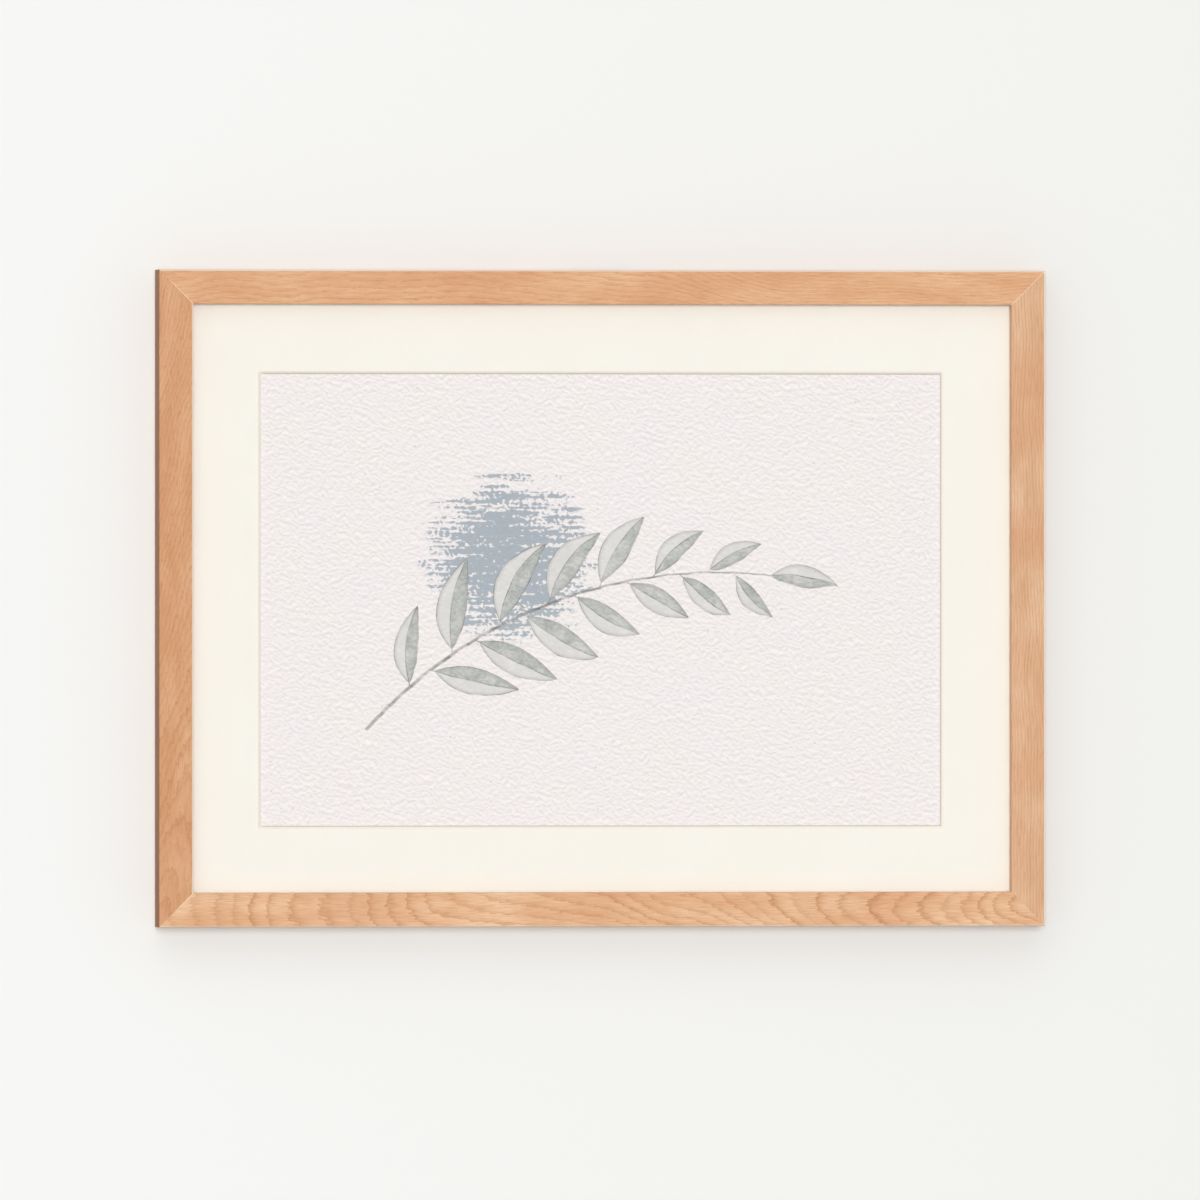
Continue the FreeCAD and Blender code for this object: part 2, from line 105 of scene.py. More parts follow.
def alder(name, side, upright, tones, pith, ring, jag, contrast, flecks, filler, arris_highlight, seed):
    """One rail's wood. side is 1 on top and right, -1 at the bottom and left. tones are its paler and
    deeper colour. pith is the log's pith, point by point: mm along the rail, across its face and behind it.
    ring is a year's growth, jag how far its line is torn, both in mm. filler is how far out the pale line
    runs in the mitre at the rail's start and end, as a share of the rail's width. The argument after filler
    is how pale the outer and sight edges' arrises are painted, as highlights."""
    made, tree, here = new_material(name)
    if upright:
        turn = (-math.pi / 2, 0, -math.pi / 2)
        move = (-MIDDLE.z / MM, side * (FRAME_SIZE.x - RAIL_WIDTH) / 2, RAIL_FRONT)
    else:
        turn = (-math.pi / 2, 0, 0)
        move = (0, -MIDDLE.z / MM - side * (FRAME_SIZE.z - RAIL_WIDTH) / 2, RAIL_FRONT)
    rail = add(tree, "Mapping", {"Vector": here, "Location": move, "Rotation": turn})
    along, across, forward = add(tree, "SeparateXYZ", [rail]).outputs

    # The log: its pith's place, a slow bend, and the distance from the pith. The curve holds shares from 0
    # to 1.
    half_length = (FRAME_SIZE.z if upright else FRAME_SIZE.x) / 2
    how_far = add(tree, "MapRange", (along, -half_length, half_length, 0.0, 1.0))
    arm = []
    for axis, shift in ((1, 0.0), (2, SECOND_BEND)):
        path = add(tree, "FloatCurve", (1.0, how_far))
        curve = path.mapping.curves[0]
        for number, point in enumerate(pith):
            spot = (point[0] / half_length / 2 + 0.5, point[axis] / PITH_REACH / 2 + 0.5)
            if number in (0, len(pith) - 1):
                curve.points[0 if number == 0 else -1].location = spot
            else:
                curve.points.new(*spot)
        path.mapping.update()
        place = add(tree, "Math", (path, 2 * PITH_REACH, -PITH_REACH), operation="MULTIPLY_ADD")
        where = add(tree, "Math", (along, 1 / BEND[0], seed + shift), operation="MULTIPLY_ADD")
        bend = add(tree, "TexNoise", {"W": where, "Scale": 1.0, "Detail": 1.0}, noise_dimensions="1D")
        bent = add(tree, "Math", (bend, BEND[1], place), operation="MULTIPLY_ADD")
        arm.append(bent)
    aside = add(tree, "Math", (across, arm[0]), operation="SUBTRACT")
    deep = add(tree, "Math", (forward, arm[1]), operation="ADD")
    reach = add(tree, "VectorMath", [add(tree, "CombineXYZ", (aside, deep, 0.0))], operation="LENGTH")

    # Year rings: each fades in and ends in a torn line, some years stronger than others
    tear_place = {"Vector": rail, "Location": (seed, 0, 0), "Scale": TEAR_SCALE}
    tear_inputs = {"Vector": add(tree, "Mapping", tear_place), "Scale": 1.0, "Detail": 3.0, "Roughness": 0.62}
    tear = add(tree, "TexNoise", tear_inputs)
    torn = add(tree, "Math", (tear, jag, reach), operation="MULTIPLY_ADD")
    years = add(tree, "Math", (torn, ring), operation="DIVIDE")
    season = add(tree, "Math", [years], operation="FRACT")
    fade = add(tree, "Math", (season, 3.5), operation="POWER")
    stop = add(tree, "MapRange", (season, RING_END, 1.0, 1.0, 0.0), interpolation_type="SMOOTHSTEP")
    year = add(tree, "TexWhiteNoise", [add(tree, "Math", [years], operation="FLOOR")], noise_dimensions="1D")
    strength = add(tree, "MapRange", (year, 0.0, 1.0, 0.4 * contrast, contrast))
    line = add(tree, "Math", (fade, stop), operation="MULTIPLY")
    line = add(tree, "Math", (line, strength), operation="MULTIPLY")

    # Fibres, soft clouds and flecks
    fibre_scale = (1 / FIBRE[0], 1 / FIBRE[1], 1 / FIBRE[1])
    fibre_place = {"Vector": rail, "Location": (0, seed, 0), "Scale": fibre_scale}
    fibre = add(tree, "TexNoise", {"Vector": add(tree, "Mapping", fibre_place), "Scale": 1.0, "Detail": 2.0})
    cloud_place = {"Vector": rail, "Location": (seed, 0, seed), "Scale": CLOUD_SCALE}
    cloud = add(tree, "TexNoise", {"Vector": add(tree, "Mapping", cloud_place), "Scale": 1.0, "Detail": 3.0})
    fleck_place = {"Vector": rail, "Location": (0, 0, seed), "Scale": FLECK_SCALE}
    fleck = add(tree, "TexNoise", {"Vector": add(tree, "Mapping", fleck_place), "Scale": 1.0, "Detail": 1.0})

    shade = add(tree, "MapRange", (cloud, 0.35, 0.65, 0.0, 1.0))
    wood = add(tree, "Mix", (shade, colour(tones[0]), colour(tones[1])), data_type="RGBA")
    pinker = add(tree, "MapRange", (bend, 0.4, 0.7, 0.0, 0.4))
    wood = add(tree, "Mix", (pinker, wood, WOOD_PINK), data_type="RGBA")
    wood = add(tree, "Mix", (line, wood, WOOD_RING), data_type="RGBA")
    dark_fibre = add(tree, "MapRange", (fibre, 0.42, 0.75, 0.0, 0.5))
    wood = add(tree, "Mix", (dark_fibre, wood, WOOD_RING), data_type="RGBA")
    dark_fleck = add(tree, "MapRange", (fleck, 0.68, 0.78, 0.0, flecks))
    wood = add(tree, "Mix", (dark_fleck, wood, WOOD_FLECK), data_type="RGBA")

    # Filler in the two mitres, the outer side painted darker as shade, the raw back, and painted highlights
    # on the outer and sight arrises. outwards is 0 at the sight edge and 1 at the outer edge.
    out_sign = -side if upright else side
    outwards = add(tree, "Math", (across, out_sign / RAIL_WIDTH, 0.5), operation="MULTIPLY_ADD")
    from_middle = add(tree, "Math", [along], operation="ABSOLUTE")
    edge = add(tree, "Math", (outwards, RAIL_WIDTH, half_length - RAIL_WIDTH), operation="MULTIPLY_ADD")
    to_mitre = add(tree, "Math", (edge, from_middle), operation="SUBTRACT")
    pale = add(tree, "MapRange", (to_mitre, 0.3 * FILLER_WIDTH, 0.8 * FILLER_WIDTH, 1.0, 0.0))
    at_end = add(tree, "Math", (along, 0.0), operation="GREATER_THAN")
    run = add(tree, "MapRange", (at_end, 0.0, 1.0, filler[0], filler[1]))
    left_over = add(tree, "Math", (run, outwards), operation="SUBTRACT")
    within = add(tree, "MapRange", (left_over, -0.02, 0.05, 0.0, 0.85))
    filled = add(tree, "Math", (pale, within), operation="MULTIPLY")
    worn = add(tree, "MapRange", (fibre, 0.3, 0.6, 1.0, 0.6))
    filled = add(tree, "Math", (filled, worn), operation="MULTIPLY")
    wood = add(tree, "Mix", (filled, wood, FILLER_AND_HIGHLIGHT), data_type="RGBA")

    # The outer side is painted darker, as shade
    at_side = add(tree, "MapRange", (outwards, 1 - 0.2 / RAIL_WIDTH, 1 - 0.05 / RAIL_WIDTH, 0.0, 1.0))
    shaded_side = add(tree, "Mix", (1.0, wood, OUTER_SIDE_SHADE), data_type="RGBA", blend_type="MULTIPLY")
    wood = add(tree, "Mix", (at_side, wood, shaded_side), data_type="RGBA")
    at_back = add(tree, "MapRange", (forward, 0.1 - RAIL_DEPTH, 0.3 - RAIL_DEPTH, 0.6, 0.0))
    wood = add(tree, "Mix", (at_back, wood, RAW_BACK), data_type="RGBA")

    # Painted highlights along the outer and sight arrises, on the front only, in the filler's pale colour
    outer = [1 - inset / RAIL_WIDTH for inset in OUTER_ARRIS]
    at_outer = add(tree, "MapRange", (outwards, *outer, 0.0, arris_highlight[0]))
    sight = [inset / RAIL_WIDTH for inset in SIGHT_ARRIS]
    at_sight = add(tree, "MapRange", (outwards, sight[1], sight[0], arris_highlight[1], 0.0))
    at_edge = add(tree, "Math", (at_outer, at_sight), operation="MAXIMUM")
    at_front = add(tree, "MapRange", (forward, -ARRIS_DEPTH[0], -ARRIS_DEPTH[1], 0.0, 1.0))
    arris = add(tree, "Math", (at_edge, at_front), operation="MULTIPLY")
    wood = add(tree, "Mix", (arris, wood, FILLER_AND_HIGHLIGHT), data_type="RGBA")

    bump = add(tree, "Bump", {"Height": fibre, "Strength": 0.35, "Distance": 0.05 * MM})
    rough = add(tree, "MapRange", (fibre, 0.2, 0.8, 0.6, 0.75))
    surface = {"Base Color": wood, "Roughness": rough, "Normal": bump, "IOR": 1.48, "Specular IOR Level": 0.1}
    add(tree, "OutputMaterial", {"Surface": add(tree, "BsdfPrincipled", surface)})
    return made


def dress_rails():
    # Slow-grown and nearly straight, with short torn slants right of the middle
    top = alder(
        "alder_top",
        side=1,
        upright=False,
        tones=("#F2C49B", "#E7B288"),
        pith=((-221, 21, 44), (0, 25, 40), (30, 26, 36), (100, 28, 19), (221, 30, 15)),
        ring=1.5,
        jag=1.9,
        contrast=0.6,
        flecks=0.5,
        filler=(0.7, 1.1),
        arris_highlight=(0.75, 0.0),
        seed=11.0,
    )
    # Flat-sawn: steep arches at the left, long slants in the middle, wide arches at the right
    left_part = ((-221, 0, 78), (-130, -1, 61), (-100, 2, 56), (-60, 14, 50))
    right_part = ((0, 17, 44), (60, 11, 38), (100, 3, 32), (140, -0.5, 26), (180, -1, 19.5), (221, 1, 11))
    bottom = alder(
        "alder_bottom",
        side=-1,
        upright=False,
        tones=("#F8D2AB", "#EBB98F"),
        pith=left_part + right_part,
        ring=1.9,
        jag=1.9,
        contrast=1.0,
        flecks=0.15,
        filler=(0.5, 0.0),
        arris_highlight=(0.4, 0.0),
        seed=3.0,
    )
    # Straight above, mottled below where the cut runs out near the pith
    left = alder(
        "alder_left",
        side=-1,
        upright=True,
        tones=("#E6B58D", "#DAA379"),
        pith=((-163, 6, 12), (163, -60, 44)),
        ring=1.5,
        jag=2.4,
        contrast=0.85,
        flecks=0.8,
        filler=(0.5, 0.7),
        arris_highlight=(0.0, 0.85),
        seed=23.0,
    )
    # Quarter-sawn
    right = alder(
        "alder_right",
        side=1,
        upright=True,
        tones=("#EEC7A3", "#E2B790"),
        pith=((-163, 58, 20), (163, 62, 20)),
        ring=1.5,
        jag=0.35,
        contrast=0.8,
        flecks=0.4,
        filler=(0.0, 1.1),
        arris_highlight=(1.0, 0.0),
        seed=37.0,
    )
    dress("top_rail", top)
    dress("bottom_rail", bottom)
    dress("left_rail", left)
    dress("right_rail", right)


# Mat: ivory conservation board. A dead-matt face paper with faint cotton fibres, over a creamier core that
# shows in the bevelled cut of the window.

MAT_FACE = colour("#FCFAF1")
MAT_CLOUD = colour("#F9F5EB")
MAT_CORE = colour("#FDF6E6")
MAT_FOOT = colour("#D3C9BC")
FACE_PAPER = 0.12  # mm, the face paper on the board's core
FOOT = 0.8  # mm, the shaded foot of the cut
WINDOW_LEFT = -170.2  # mm, the middle of the window's left cut
LEFT_FOOT = 0.15  # the share of that shade on the window's left cut


def mat_board():
    made, tree, here = new_material("ivory_mat_board")
    front, back = (corner.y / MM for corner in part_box("window_mat"))
    across, depth, _ = add(tree, "SeparateXYZ", [here]).outputs
    core = add(tree, "MapRange", (depth, front + 0.8 * FACE_PAPER, front + 1.2 * FACE_PAPER, 0.0, 1.0))
    cloud = add(tree, "TexNoise", {"Vector": here, "Scale": 0.02, "Detail": 2.0})
    fibres = add(tree, "TexNoise", {"Vector": here, "Scale": 1.4, "Detail": 2.0, "Roughness": 0.7})
    face = add(tree, "Mix", (cloud, MAT_FACE, MAT_CLOUD), data_type="RGBA")
    thick = add(tree, "MapRange", (fibres, 0.5, 0.8, 0.0, 0.8))
    face = add(tree, "Mix", (thick, face, MAT_CLOUD), data_type="RGBA")
    board = add(tree, "Mix", (core, face, MAT_CORE), data_type="RGBA")
    foot = add(tree, "MapRange", (depth, back - FOOT, back - 0.3 * FOOT, 0.0, 1.0))
    less_left = add(tree, "MapRange", (across, WINDOW_LEFT + 1.0, WINDOW_LEFT + 1.5, LEFT_FOOT, 1.0))
    foot = add(tree, "Math", (foot, less_left), operation="MULTIPLY")
    board = add(tree, "Mix", (foot, board, MAT_FOOT), data_type="RGBA")
    bump = add(tree, "Bump", {"Height": fibres, "Strength": 0.3, "Distance": 0.04 * MM})
    surface = {"Base Color": board, "Roughness": 0.9, "Normal": bump, "Specular IOR Level": 0.2}
    add(tree, "OutputMaterial", {"Surface": add(tree, "BsdfPrincipled", surface)})
    return made


# Sheet: cold-pressed cotton paper, 300 g. The felt leaves soft dents about 1.5 mm apart, which catch the
# light from above and break up a dry brush. On it, in thin washes and pencil, a leafy sprig over a round
# patch of dry brush.

PAPER = colour("#FEF8F8")
PAPER_WARM = colour("#FDFAF5")
PAPER_DENT = colour("#EDE6E6")
PAPER_SPECK = colour("#8F857C")
DENT = (2.2, 1.7)  # mm along and up, from dent to rise
DENT_SLANT = -0.25  # radians, down to the right
FLANK = 0.6  # mm between the two heights whose difference is a flank

WASH_PALE = colour("#DDDCD9")
WASH_DARK = colour("#AAB0AB")
WASH_EDGE = colour("#92958F")
BRUSH_BLUE = colour("#A6B1BA")
PENCIL = colour("#6B665F")

sheet_low, sheet_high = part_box("art_sheet")
SHEET_MIDDLE = (sheet_low + sheet_high) / 2 / MM

# The stem's arc, in mm and radians from the sheet's middle, and the leaves on it
STEM_RADIUS = 236.0
STEM_CENTRE = (58.0, -222.0)
STEM_FROM = math.radians(138)
STEM_TO = math.radians(84)
STEM_LENGTH = STEM_RADIUS * (STEM_FROM - STEM_TO)
LEAF_STEP = 27.0
FIRST_LEAF = 30.0
LEAVES_A_SIDE = 7
LEAF_LENGTH = 45.0
LEAF_HALF_WIDTH = 0.165  # of its length
INNER_SIDE = 50.0  # added to the numbers of the leaves inside the arc, so that each leaf sways its own way
STALK = 2.5
TIP_LEAF = 36.0
TIP_NUMBER = 7.0

DISC_MIDDLE = (-46.0, 20.0)
DISC_RADIUS = 43.0
RAGGED = 30.0  # mm, from the shortest to the longest stroke's end


def paper_grain(tree, flat):
    """The height of the paper's grain, from 0 to 1, and how steeply it rises there, above 0 on an upper
    flank."""
    swirl = add(tree, "TexNoise", {"Vector": flat, "Scale": 0.16, "Detail": 0.0}, noise_dimensions="2D")
    push = (swirl.outputs["Color"], (2.5, 2.5, 0.0), flat)
    pushed = add(tree, "VectorMath", push, operation="MULTIPLY_ADD")
    heights = []
    for up in (0.0, FLANK):
        moved = add(tree, "Mapping", {"Vector": pushed, "Location": (0, up, 0)})
        turned = add(tree, "Mapping", {"Vector": moved, "Rotation": (0, 0, -DENT_SLANT)})
        drawn = add(tree, "Mapping", {"Vector": turned, "Scale": (1 / DENT[0], 1 / DENT[1], 1)})
        inputs = {"Vector": drawn, "Scale": 1.0, "Detail": 1.0, "Roughness": 0.4}
        heights.append(add(tree, "TexNoise", inputs, noise_dimensions="2D"))
    flank = add(tree, "Math", (heights[0], heights[1]), operation="SUBTRACT")
    return heights[0], flank


def painted_leaf():
    """A group that draws one leaf from its foot on the stem: its lighter and darker halves, the darker rim
    where the wash dried, and the pencil lines."""
    group = bpy.data.node_groups.new("painted_leaf", "ShaderNodeTree")
    for name in ("Along stem", "From stem", "Angle", "Length", "Number"):
        group.interface.new_socket(name, in_out="INPUT", socket_type="NodeSocketFloat")
    for name in ("Light half", "Dark half", "Rim", "Pencil"):
        group.interface.new_socket(name, in_out="OUTPUT", socket_type="NodeSocketFloat")
    got = add(group, "NodeGroupInput").outputs
    chance = add(group, "TexWhiteNoise", [got["Number"]], noise_dimensions="1D")
    chances = add(group, "SeparateColor", [chance.outputs["Color"]]).outputs
    sway = add(group, "MapRange", (chances[0], 0.0, 1.0, -0.13, 0.13))
    angle = add(group, "Math", (sway, got["Angle"]), operation="SUBTRACT")
    growth = add(group, "MapRange", (chances[1], 0.0, 1.0, 0.88, 1.08))
    length = add(group, "Math", (growth, got["Length"]), operation="MULTIPLY")
    point = add(group, "CombineXYZ", (got["Along stem"], got["From stem"], 0.0))
    turned = add(group, "VectorRotate", {"Vector": point, "Angle": angle}, rotation_type="Z_AXIS")
    ahead, aside, _ = add(group, "SeparateXYZ", [turned]).outputs
    ahead = add(group, "Math", (ahead, STALK), operation="SUBTRACT")
    share = add(group, "Math", (ahead, length), operation="DIVIDE", use_clamp=True)
    rest = add(group, "Math", (1.0, share), operation="SUBTRACT")
    arch = add(group, "Math", (share, rest), operation="MULTIPLY")
    bend = add(group, "MapRange", (chances[2], 0.0, 1.0, -3.0, -13.0))
    aside = add(group, "Math", (arch, bend, aside), operation="MULTIPLY_ADD")
    belly = add(group, "Math", (rest, 1.6, 3.0), operation="MULTIPLY_ADD")
    width = add(group, "Math", (arch, belly), operation="MULTIPLY")
    width = add(group, "Math", (width, length), operation="MULTIPLY")
    width = add(group, "Math", (width, LEAF_HALF_WIDTH), operation="MULTIPLY")
    off_rib = add(group, "Math", [aside], operation="ABSOLUTE")
    outside = add(group, "Math", (off_rib, width), operation="SUBTRACT")
    inside = add(group, "MapRange", (outside, -0.4, 0.1, 1.0, 0.0))
    upper = add(group, "MapRange", (aside, -0.2, 0.2, 0.0, 1.0))
    light = add(group, "Math", (inside, upper), operation="MULTIPLY")
    dark = add(group, "Math", (inside, light), operation="SUBTRACT")
    rim = add(group, "MapRange", (outside, -1.7, -0.3, 0.0, 1.0))
    rim = add(group, "Math", (rim, inside), operation="MULTIPLY")

    from_edge = add(group, "Math", [outside], operation="ABSOLUTE")
    nearest = add(group, "Math", (from_edge, off_rib), operation="MINIMUM")
    line = add(group, "MapRange", (nearest, 0.08, 0.36, 1.0, 0.0))
    after_foot = add(group, "Math", (ahead, -STALK), operation="GREATER_THAN")
    past_tip = add(group, "Math", (ahead, length), operation="LESS_THAN")
    on_leaf = add(group, "Math", (after_foot, past_tip), operation="MULTIPLY")
    line = add(group, "Math", (line, on_leaf), operation="MULTIPLY")
    add(group, "NodeGroupOutput", (light, dark, rim, line))
    return group


def sprig(tree, flat, wobble):
    """The whole sprig's light, dark, rim and pencil masks. Leaves stand in turn on either side of the
    stem."""
    leaf = painted_leaf()
    centre = {"Vector": flat, "Location": (-STEM_CENTRE[0], -STEM_CENTRE[1], 0)}
    arm = add(tree, "Mapping", centre)
    arm_x, arm_y, _ = add(tree, "SeparateXYZ", [arm]).outputs
    angle = add(tree, "Math", (arm_y, arm_x), operation="ARCTAN2")
    along = add(tree, "Math", (angle, -STEM_RADIUS, STEM_FROM * STEM_RADIUS), operation="MULTIPLY_ADD")
    reach = add(tree, "VectorMath", [arm], operation="LENGTH")
    across = add(tree, "Math", (reach, STEM_RADIUS), operation="SUBTRACT")
    across = add(tree, "Math", (across, wobble), operation="ADD")
    off_stem = add(tree, "Math", [across], operation="ABSOLUTE")

    # Which leaf: one step of the stem holds one leaf on each side, half a step apart
    inner = add(tree, "Math", (across, 0.0), operation="LESS_THAN")
    start = add(tree, "Math", (inner, -LEAF_STEP / 2, -FIRST_LEAF), operation="MULTIPLY_ADD")
    from_first = add(tree, "Math", (along, start), operation="ADD")
    steps = add(tree, "Math", (from_first, LEAF_STEP), operation="DIVIDE")
    number = add(tree, "Math", [steps], operation="FLOOR")
    grown = add(tree, "Math", (along, STEM_LENGTH), operation="DIVIDE", use_clamp=True)
    lean = add(tree, "MapRange", (grown, 0.0, 1.0, 0.95, 0.62))
    swell = add(tree, "MapRange", (grown, 0.0, 0.45, 0.78, 1.0), interpolation_type="SMOOTHSTEP")
    taper = add(tree, "MapRange", (grown, 0.5, 1.0, LEAF_LENGTH, 0.62 * LEAF_LENGTH))
    length = add(tree, "Math", (swell, taper), operation="MULTIPLY")
    masks = []
    for back in (0, 1):
        mine = add(tree, "Math", (number, back), operation="SUBTRACT")
        from_foot = add(tree, "Math", (steps, mine), operation="SUBTRACT")
        from_foot = add(tree, "Math", (from_foot, LEAF_STEP), operation="MULTIPLY")
        name = add(tree, "Math", (inner, INNER_SIDE, mine), operation="MULTIPLY_ADD")
        inputs = {
            "Along stem": from_foot,
            "From stem": off_stem,
            "Angle": lean,
            "Length": length,
            "Number": name,
        }
        one = add(tree, "Group", inputs, node_tree=leaf)
        first = add(tree, "Math", (mine, -0.5), operation="GREATER_THAN")
        last = add(tree, "Math", (mine, LEAVES_A_SIDE - 0.5), operation="LESS_THAN")
        real = add(tree, "Math", (first, last), operation="MULTIPLY")
        masks.append([add(tree, "Math", (m, real), operation="MULTIPLY") for m in one.outputs])
    end = {
        "Along stem": add(tree, "Math", (along, STEM_LENGTH), operation="SUBTRACT"),
        "From stem": across,
        "Angle": 0.05,
        "Length": TIP_LEAF,
        "Number": TIP_NUMBER,
    }
    masks.append(list(add(tree, "Group", end, node_tree=leaf).outputs))
    joined = [
        add(tree, "Math", (add(tree, "Math", (a, b), operation="MAXIMUM"), c), operation="MAXIMUM")
        for a, b, c in zip(*masks)
    ]

    # The stem, drawn thicker at its foot
    half = add(tree, "MapRange", (along, 0.0, STEM_LENGTH, 0.85, 0.3))
    past = add(tree, "Math", (off_stem, half), operation="SUBTRACT")
    stem = add(tree, "MapRange", (past, -0.2, 0.25, 1.0, 0.0))
    begins = add(tree, "Math", (along, 0.0), operation="GREATER_THAN")
    ends = add(tree, "Math", (along, STEM_LENGTH), operation="LESS_THAN")
    on_stem = add(tree, "Math", (begins, ends), operation="MULTIPLY")
    stem = add(tree, "Math", (stem, on_stem), operation="MULTIPLY")
    joined[3] = add(tree, "Math", (joined[3], stem), operation="MAXIMUM")
    return joined


def dry_brush(tree, flat, grain):
    """A round patch of level strokes, ragged at both ends and broken by the paper's grain."""
    arm = add(tree, "Mapping", {"Vector": flat, "Location": (-DISC_MIDDLE[0], -DISC_MIDDLE[1], 0)})
    level, height, _ = add(tree, "SeparateXYZ", [arm]).outputs
    reach = add(tree, "VectorMath", [arm], operation="LENGTH")
    right_side = add(tree, "Math", (level, 0.0), operation="GREATER_THAN")
    row = add(tree, "Math", (right_side, 31.0, height), operation="MULTIPLY_ADD")
    ends = add(tree, "TexNoise", {"W": row, "Scale": 0.2, "Detail": 2.0}, noise_dimensions="1D")
    ragged = add(tree, "Math", (ends, RAGGED, -RAGGED / 2), operation="MULTIPLY_ADD")
    inside = add(tree, "Math", (DISC_RADIUS, reach), operation="SUBTRACT")
    inside = add(tree, "Math", (inside, ragged), operation="SUBTRACT")
    load = add(tree, "MapRange", (inside, -4.0, 26.0, 0.0, 0.32))
    bristle_place = {"Vector": flat, "Location": (9, 4, 0), "Scale": (0.05, 0.5, 1)}
    bristle_inputs = {"Vector": add(tree, "Mapping", bristle_place), "Scale": 1.0, "Detail": 3.0}
    bristles = add(tree, "TexNoise", bristle_inputs, noise_dimensions="2D")
    caught = add(tree, "Math", (grain, 0.6, load), operation="MULTIPLY_ADD")
    caught = add(tree, "Math", (bristles, 0.75, caught), operation="MULTIPLY_ADD")
    paint = add(tree, "MapRange", (caught, 0.76, 0.84, 0.0, 1.0))
    rim = add(tree, "MapRange", (inside, -2.0, 1.0, 0.0, 1.0))
    return add(tree, "Math", (paint, rim), operation="MULTIPLY")


def painted_paper():
    made, tree, here = new_material("cold_pressed_watercolour_paper")
    move = (-SHEET_MIDDLE.x, -SHEET_MIDDLE.z, 0)
    flat = add(tree, "Mapping", {"Vector": here, "Location": move, "Rotation": (-math.pi / 2, 0, 0)})
    grain, flank = paper_grain(tree, flat)
    cloud_inputs = {"Vector": flat, "Scale": 0.03, "Detail": 3.0, "Roughness": 0.6}
    cloud = add(tree, "TexNoise", cloud_inputs, noise_dimensions="2D")
    warm = add(tree, "MapRange", (cloud, 0.4, 0.6, 0.0, 1.0))
    sheet = add(tree, "Mix", (warm, PAPER, PAPER_WARM), data_type="RGBA")

    # The relief is too low for soft light to show at this size, so its lower flanks are drawn a shade darker
    dent = add(tree, "MapRange", (flank, -0.25, 0.25, 1.0, 0.0))
    sheet = add(tree, "Mix", (dent, sheet, PAPER_DENT), data_type="RGBA")

    # Thin washes, one over the other, thinner where the ridges stand proud
    hand = add(tree, "TexNoise", {"Vector": flat, "Scale": 0.1, "Detail": 2.0}, noise_dimensions="2D")
    wobble = add(tree, "Math", (hand, 1.6, -0.8), operation="MULTIPLY_ADD")
    light, dark, rim, pencil = sprig(tree, flat, wobble)
    settle_inputs = {"Vector": flat, "Scale": 0.14, "Detail": 3.0, "Roughness": 0.5}
    settle = add(tree, "TexNoise", settle_inputs, noise_dimensions="2D")
    pooled = add(tree, "MapRange", (settle, 0.3, 0.7, 0.62, 1.0))
    dents = add(tree, "MapRange", (grain, 0.35, 0.65, 1.0, 0.8))
    body = add(tree, "Math", (light, dark), operation="ADD")
    bare = add(tree, "Math", (body, -0.9, 0.9), operation="MULTIPLY_ADD")
    brushed = add(tree, "Math", (dry_brush(tree, flat, grain), bare), operation="MULTIPLY")
    sheet = add(tree, "Mix", (brushed, sheet, BRUSH_BLUE), data_type="RGBA")
    thin = add(tree, "Math", (light, pooled), operation="MULTIPLY")
    sheet = add(tree, "Mix", (thin, sheet, WASH_PALE), data_type="RGBA")
    thick = add(tree, "Math", (dark, pooled), operation="MULTIPLY")
    thick = add(tree, "Math", (thick, dents), operation="MULTIPLY")
    sheet = add(tree, "Mix", (thick, sheet, WASH_DARK), data_type="RGBA")
    dried = add(tree, "Math", (rim, 0.3), operation="MULTIPLY")
    sheet = add(tree, "Mix", (dried, sheet, WASH_EDGE), data_type="RGBA")

    # Pencil, lighter where the hand lifted and in the dents, and a few specks in the paper
    press = add(tree, "MapRange", (hand, 0.3, 0.7, 0.3, 0.9))
    pressed = add(tree, "Math", (press, dents), operation="MULTIPLY")
    drawn = add(tree, "Math", (pencil, pressed), operation="MULTIPLY")
    sheet = add(tree, "Mix", (drawn, sheet, PENCIL), data_type="RGBA")
    dots = add(tree, "TexVoronoi", {"Vector": flat, "Scale": 0.055}, voronoi_dimensions="2D")
    picked = add(tree, "SeparateColor", [dots.outputs["Color"]]).outputs[0]
    picked = add(tree, "Math", (picked, 0.85), operation="GREATER_THAN")
    near = add(tree, "MapRange", (dots.outputs["Distance"], 0.012, 0.022, 0.6, 0.0))
    speck = add(tree, "Math", (near, picked), operation="MULTIPLY")
    sheet = add(tree, "Mix", (speck, sheet, PAPER_SPECK), data_type="RGBA")

    bump = add(tree, "Bump", {"Height": grain, "Strength": 1.0, "Distance": 0.5 * MM})
    surface = {"Base Color": sheet, "Roughness": 0.92, "Normal": bump, "Specular IOR Level": 0.15}
    add(tree, "OutputMaterial", {"Surface": add(tree, "BsdfPrincipled", surface)})
    return made


# Glass: 2 mm float glass with a low-reflection coat. It shows the mat and sheet unchanged, with a quarter
# of bare glass's gloss, on the faces that the light meets from outside.

COATED_GLOSS = 0.25


def picture_glass():
    made, tree, _ = new_material("low_reflection_float_glass")
    clear = add(tree, "BsdfTransparent", {"Color": (1, 1, 1, 1)})
    gloss = add(tree, "BsdfGlossy", {"Color": (1, 1, 1, 1), "Roughness": 0.02})
    edge_on = add(tree, "Fresnel", {"IOR": 1.52})
    inside = add(tree, "NewGeometry").outputs["Backfacing"]
    coated = add(tree, "Math", (inside, -COATED_GLOSS, COATED_GLOSS), operation="MULTIPLY_ADD")
    weak = add(tree, "Math", (edge_on, coated), operation="MULTIPLY")
    add(tree, "OutputMaterial", {"Surface": add(tree, "MixShader", (weak, clear, gloss))})
    return made


# Hidden pieces and fittings


